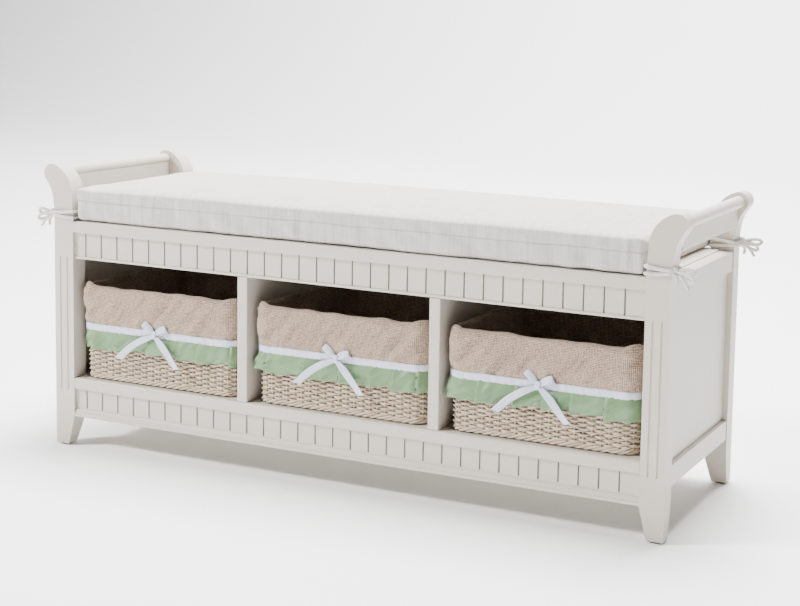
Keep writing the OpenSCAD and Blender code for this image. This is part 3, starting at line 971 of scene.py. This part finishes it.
def liner_points(seed):
    """The lining from the middle of its floor, up inside, over the rim and down outside."""
    rng = np.random.default_rng(seed)
    turn = np.linspace(0, 1, 560, endpoint=False)
    inside = -WALL - 2.5 * MM
    floor_z = BASE_Z + WALL + FLOOR_GAP
    wave = sum(rng.uniform(0.3, 1.0) * np.sin(2 * math.pi * k * turn + rng.uniform(0, 6.3))
               for k in (4, 7, 11, 17, 26)) / 2.2
    rows = []
    for share in (0.03, 0.35, 0.7, 0.92, 0.985):
        path, outward = ring(turn, floor_z)
        path = (path + outward * inside) * [share, share, 1]
        path[:, 2] += 0.6 * MM * (1 - share) * wave
        rows.append(path)
    state = rng.bit_generator.state
    for z in np.linspace(floor_z + 3 * MM, RIM_Z - 6 * MM, 12):
        rng.bit_generator.state = state
        path, outward = ring(turn, z)
        slack = 2.5 * MM * folds(rng, turn, np.full_like(turn, z), 0.3, (17, 29), 1.0)
        rows.append(path + outward * (inside - slack)[:, None])
    for angle in np.linspace(math.pi, 0, 9):
        path, outward = ring(turn, RIM_Z - 1.5 * MM)
        path = path + outward * ((-3.4 + 6.1 * math.cos(angle)) * MM)
        peak = 5.0 * np.abs(outward[:, 0] * outward[:, 1]) * 2
        path[:, 2] += (4.3 + 1.7 * wave + peak) * math.sin(angle) * MM
        rows.append(path)
    low = RIBBON_HIGH.z - 1 * MM
    state = rng.bit_generator.state
    for z in np.linspace(RIM_Z - 4 * MM, low, 30):
        rng.bit_generator.state = state
        t = (RIM_Z - z) / (RIM_Z - low)
        path, outward = ring(turn, z)
        rise = np.full_like(turn, z - low)
        ease = math.sin(math.pi * min(1.0, 0.12 + 0.86 * t)) ** 0.7
        broad = drape(rng, turn, rise, 1.2, (9, 14, 21, 33), 19.0 * MM) * ease
        aslant = folds(rng, turn, rise, 0.8, (37, 53), 8.0 * MM) * (0.3 + 0.7 * t) * ease
        uneven = 0.5 + 0.5 * np.sin(2 * math.pi * 13 * turn + 1.5 * np.sin(2 * math.pi * 7 * turn))
        gathers = folds(rng, turn, rise, 0.2, (71, 97, 139), 13.0 * MM) * uneven
        gathers = gathers * max(0.0, t - 0.4) ** 1.2 * (1 - t**9)
        out = 1.2 * MM + 1.0 * MM * math.sin(math.pi * t) + broad + aslant + gathers
        limit = (WALL_GAP - 5.0 * MM) + 11 * MM * np.abs(outward[:, 1]) ** 3
        out = limit * np.tanh(out / limit)
        rows.append(path + outward * (out - 0.5 * MM * t)[:, None])
    for z, grow in ((low - 4 * MM, 1.4 * MM), (RIBBON_LOW.z + 3 * MM, 1.2 * MM)):
        path, outward = ring(turn, z)
        rows.append(path + outward * grow)
    return np.array(rows)


class BENCH_OT_liners(bpy.types.Operator):
    """Line the baskets with tweed turned over their rims"""

    bl_idname = "bench.liners"
    bl_label = "Liners"

    def execute(self, context):
        finish = tweed_finish(context.scene.bench_baskets)
        for seed, side in enumerate(SIDES):
            thing = cloth_piece(f"tweed_liner_{side}", liner_points(31 + seed), True, 1.2 * MM,
                                finish, 1.31, cap=True)
            seat_piece(thing, side, [f"liner_{side}"])
        return {"FINISHED"}


def ruffle_points(settings, seed):
    """Pleats that overlap towards the left, tight at the ribbon and flared at the hem."""
    rng = np.random.default_rng(seed)
    widths = rng.uniform(0.75, 1.35, settings.pleats)
    starts = np.concatenate([[0], np.cumsum(widths / widths.sum())])
    steps = np.linspace(0, 1, 21)[:-1]
    over, under = 0.16, 0.8
    go = np.where(steps < under, steps / under * (1 + over),
                  1 + over - (steps - under) / (1 - under) * over)
    lift = np.where(steps < under, (steps / under) ** 2.0, 1 - (steps - under) / (1 - under))
    belly = np.where(steps < under, np.sin(math.pi * (steps / under)) ** 2, 0)
    go, lift, belly = 1 - go[::-1], lift[::-1], belly[::-1]
    turn, proud, mid, which = [], [], [], []
    for k in range(settings.pleats):
        turn.append(starts[k] + (starts[k + 1] - starts[k]) * go)
        proud.append(lift * rng.uniform(0.75, 1.0))
        mid.append(belly * rng.uniform(-1.0, 0.6))
        which.append(np.full(len(go), rng.uniform(-1, 1)))
    turn, proud, mid, which = (np.concatenate(v) for v in (turn, proud, mid, which))
    rows = []
    top, low = RIBBON_LOW.z + 5 * MM, RUFFLE_LOW + HEM_RISE
    for v in np.linspace(0, 1, 13):
        path, outward = ring(turn, top + (low - top) * v)
        bulge = math.sin(math.pi * v) * 2.2
        corner = np.abs(outward[:, 0] * outward[:, 1]) * 2
        flare = 1.0 + 0.3 * proud + v * (2.5 + 13.0 * proud + 7.0 * mid + 2.0 * which)
        flare = np.maximum(flare + (bulge + 6.0 * v * corner) * (0.4 + proud), 0.8) * MM
        near_bow = np.exp(-((path[:, 0] / (75 * MM)) ** 4)) * (outward[:, 1] < -0.9)
        move = outward[:, :2] * (flare * (1 - 0.25 * near_bow))[:, None]
        limit = np.stack([np.full_like(turn, WALL_GAP - 1.2 * MM),
                          np.where(outward[:, 1] > 0, 8 * MM, 24 * MM)], axis=1)
        path[:, :2] += limit * np.tanh(move / limit)
        path[:, 2] -= v**1.6 * (3.0 * proud - 5.0 * mid + 2.2 * which) * MM
        pucker = folds(np.random.default_rng(seed), turn, np.full_like(turn, v * 0.05), 1.5,
                       (90, 133, 201), 4.0 * MM)
        crease = [noise.noise(Vector((seed * 9 + t * 105 + v * 3.0, v * 1.6, 3))) for t in turn]
        ripple = 2.6 * pucker * v * (1 - v) ** 1.5 + np.array(crease) * (6.5 * MM * v**0.6)
        path += outward * ripple[:, None]
        rows.append(path)
    return np.array(rows)


class BENCH_OT_ruffles(bpy.types.Operator):
    """Pleat the ruffle round each basket"""

    bl_idname = "bench.ruffles"
    bl_label = "Ruffles"

    def execute(self, context):
        settings = context.scene.bench_baskets
        finish = satin_finish("sage_satin", settings.mint, 0.32)
        for seed, side in enumerate(SIDES):
            points = ruffle_points(settings, 51 + seed)
            hem = np.linalg.norm(points[-1] - np.roll(points[-1], 1, axis=0), axis=1).sum()
            thing = cloth_piece(f"ruffle_strip_{side}", points, True, 0.5 * MM, finish, hem)
            seat_piece(thing, side, [f"ruffle_{side}"])
        return {"FINISHED"}


class BENCH_OT_ribbons(bpy.types.Operator):
    """Run the ribbon round each basket"""

    bl_idname = "bench.ribbons"
    bl_label = "Ribbons"

    def execute(self, context):
        settings = context.scene.bench_baskets
        width = RIBBON_HIGH.z - RIBBON_LOW.z
        finish = satin_finish("ribbon_satin", settings.satin, 0.34, width)
        for seed, side in enumerate(SIDES):
            rng = np.random.default_rng(71 + seed)
            turn = np.linspace(0, 1, 520, endpoint=False)
            ease = sum(rng.uniform(0.3, 1) * np.sin(2 * math.pi * k * turn + rng.uniform(0, 6.3))
                       for k in (7, 12, 19, 31)) / 3
            pucker = np.sin(2 * math.pi * 83 * turn) + np.sin(2 * math.pi * 131 * turn + 1)
            rows = []
            for share in np.linspace(0, 1, 6):
                path, outward = ring(turn, RIBBON_LOW.z + width * share)
                edge = abs(2 * share - 1)
                cup = 4.0 + (0.5 * ease + 0.35 * pucker) * (0.4 + edge) - 0.9 * edge**2
                path = path + outward * (cup * MM)[:, None]
                path[:, 2] += 0.5 * MM * ease
                rows.append(path)
            thing = cloth_piece(f"ribbon_band_{side}", np.array(rows), True, 0.5 * MM, finish,
                                way_round(RIBBON_LOW.z))
            seat_piece(thing, side, [f"ribbon_{side}"])
        return {"FINISHED"}


def bow_pieces(width, finish, seed):
    """A ribbon bow on the front of a basket, about the origin of its own plan."""
    rng = np.random.default_rng(seed)
    z0 = (RIBBON_LOW.z + RIBBON_HIGH.z) / 2
    face = -(HALF_D - LEAN * (RIM_Z - RIBBON_HIGH.z)) - 4.6 * MM
    things = []
    for out, reach, rise in ((-1, 31, 0.72), (1, 29, 0.46)):
        rise += rng.uniform(-0.06, 0.06)
        t = np.linspace(0, 2 * math.pi, 34)
        go = (1 - np.cos(t)) / 2
        heading = np.array([out * math.cos(rise), 0, math.sin(rise)])
        depth = (2.6 + 3.0 * np.sin(t) * (0.35 + 0.65 * go)) * MM
        path = np.array([0, face, z0]) + heading * (go * reach * MM)[:, None]
        path[:, 1] -= depth
        path[:, 2] += 2.2 * MM * np.sin(t)
        across = np.tile([-math.sin(rise) * out, 0.0, math.cos(rise)], (len(path), 1))
        across[:, 1] += 0.45 * np.sin(t)
        widths = width * (0.45 + 0.55 * np.clip(go * 2.6, 0, 1))
        things.append(tape("loop", path, across, widths, 0.5 * MM, finish))
    for out, ends in ((-1, ((-26, -12), (-50, -28), (-72, -49))),
                      (1, ((19, -16), (38, -35), (56, -55)))):
        spots = [(0, face - 2.5 * MM, z0 - 2 * MM)]
        for k, (a, c) in enumerate(ends):
            ahead = (7.5, 10.5, 12.5)[k] + rng.uniform(-0.4, 0.4)
            spots.append((a * MM, face - ahead * MM, z0 + c * MM))
        path = smooth_path(spots, 22)
        heading = path[-1] - path[0]
        across = np.tile([-heading[2], 0.0, heading[0]], (len(path), 1)) * out
        across[:, 1] += 0.25 * np.linalg.norm(heading) * np.sin(np.linspace(0, 5, len(path)))
        widths = width * np.clip(np.linspace(0.5, 2.2, len(path)), 0, 1)
        things.append(tape("tail", path, across, widths, 0.5 * MM, finish, slant=9 * MM))
    turn = np.linspace(0, 2 * math.pi, 24)
    wrap = np.stack([np.zeros(24) + 0.6 * MM * np.sin(turn * 3),
                     face - (3.0 + 3.0 * np.cos(turn)) * MM,
                     z0 + 6.8 * np.sin(turn) * MM], axis=1)
    across = np.tile([1.0, 0.0, 0.15], (24, 1))
    things.append(tape("wrap", wrap, across, 9.5 * MM, 0.9 * MM, finish))
    return things


class BENCH_OT_bows(bpy.types.Operator):
    """Tie a ribbon bow on the front of each basket"""

    bl_idname = "bench.bows"
    bl_label = "Bows"

    def execute(self, context):
        settings = context.scene.bench_baskets
        width = RIBBON_HIGH.z - RIBBON_LOW.z
        finish = satin_finish("bow_satin", settings.satin, 0.32, width)
        for seed, side in enumerate(SIDES):
            thing = join(f"ribbon_bow_{side}", bow_pieces(width, finish, 91 + seed))
            seat_piece(thing, side, [f"bow_{side}"])
        return {"FINISHED"}


# ---- Stage --------------------------------------------------------------


class BENCH_OT_stage(bpy.types.Operator):
    """Set the floor, the lights and the camera"""

    bl_idname = "bench.stage"
    bl_label = "Stage"

    def execute(self, context):
        scene = context.scene
        profile = [(-9.0, 0.0), (5.0, 0.0)]
        profile += [(5.0 + 2.5 * math.sin(a), 2.5 - 2.5 * math.cos(a))
                    for a in np.linspace(0.1, math.pi / 2, 14)]
        profile += [(7.5, 8.0)]
        points = np.array([[(x, y, z) for x in (-12.0, 12.0)] for y, z in profile])
        faces, _ = grid(len(profile), 2, False)
        floor = make_object("studio_floor", mesh_of("studio_floor", points.reshape(-1, 3), faces),
                            floor_finish())
        world = bpy.data.worlds.new("studio")
        world.use_nodes = True
        world.node_tree.nodes["Background"].inputs["Color"].default_value = (1.0, 1.0, 1.0, 1)
        world.node_tree.nodes["Background"].inputs["Strength"].default_value = 0.18
        scene.world = world
        for name, place, size, watts in (
            ("key", (-3.1, -2.3, 3.1), 0.8, 400.0),
            ("top", (0.2, 0.6, 3.2), 1.6, 480.0),
            ("backdrop", (-1.0, 3.4, 4.6), 3.5, 1100.0),
        ):
            lamp = bpy.data.lights.new(name, "AREA")
            lamp.size = size
            lamp.energy = watts
            lamp_object = bpy.data.objects.new(name, lamp)
            lamp_object.location = place
            target = Vector((-2.0, 6.5, 1.0)) if name == "backdrop" else Vector((0, 0, 0.3))
            aim = target - Vector(place)
            lamp_object.rotation_euler = aim.to_track_quat("-Z", "Y").to_euler()
            scene.collection.objects.link(lamp_object)
        yaw, pitch, roll = (math.radians(a) for a in (-22.99, -6.590, 1.508))
        ahead = Vector((math.sin(yaw) * math.cos(pitch), math.cos(yaw) * math.cos(pitch),
                        math.sin(pitch)))
        right = ahead.cross(Vector((0, 0, 1))).normalized()
        above = right.cross(ahead)
        right, above = (right * math.cos(roll) + above * math.sin(roll),
                        above * math.cos(roll) - right * math.sin(roll))
        lens = bpy.data.cameras.new("camera")
        lens.sensor_width = 36.0
        lens.lens = 69.08
        lens.shift_x = -0.1875
        lens.shift_y = -0.1485
        lens.clip_end = 60.0
        camera = bpy.data.objects.new("camera", lens)
        turn = Matrix((right, above, -ahead)).transposed().to_4x4()
        camera.matrix_world = Matrix.Translation((1.3353, -2.4100, 0.8374)) @ turn
        scene.collection.objects.link(camera)
        scene.camera = camera
        return {"FINISHED"}


class BENCH_PT_panel(bpy.types.Panel):
    bl_label = "Entryway Bench"
    bl_idname = "BENCH_PT_panel"
    bl_space_type = "VIEW_3D"
    bl_region_type = "UI"
    bl_category = "Bench"

    def draw(self, context):
        layout = self.layout
        for group in (context.scene.bench_frame, context.scene.bench_cushion,
                      context.scene.bench_baskets):
            box = layout.box()
            for name in group.__annotations__:
                box.prop(group, name)
        for step in STEPS:
            layout.operator(step.bl_idname)


STEPS = (
    BENCH_OT_timber,
    BENCH_OT_cushion,
    BENCH_OT_ties,
    BENCH_OT_wicker,
    BENCH_OT_liners,
    BENCH_OT_ruffles,
    BENCH_OT_ribbons,
    BENCH_OT_bows,
    BENCH_OT_stage,
)
GROUPS = {
    "bench_frame": BenchFrameSettings,
    "bench_cushion": BenchCushionSettings,
    "bench_baskets": BenchBasketSettings,
}


def register():
    for name, group in GROUPS.items():
        bpy.utils.register_class(group)
        setattr(bpy.types.Scene, name, bpy.props.PointerProperty(type=group))
    for kind in (*STEPS, BENCH_PT_panel):
        bpy.utils.register_class(kind)


def unregister():
    for kind in (BENCH_PT_panel, *reversed(STEPS)):
        bpy.utils.unregister_class(kind)
    for name, group in GROUPS.items():
        delattr(bpy.types.Scene, name)
        bpy.utils.unregister_class(group)


def main():
    register()
    for step in STEPS:
        part, name = step.bl_idname.split(".")
        getattr(getattr(bpy.ops, part), name)()


if __name__ == "__main__":
    main()
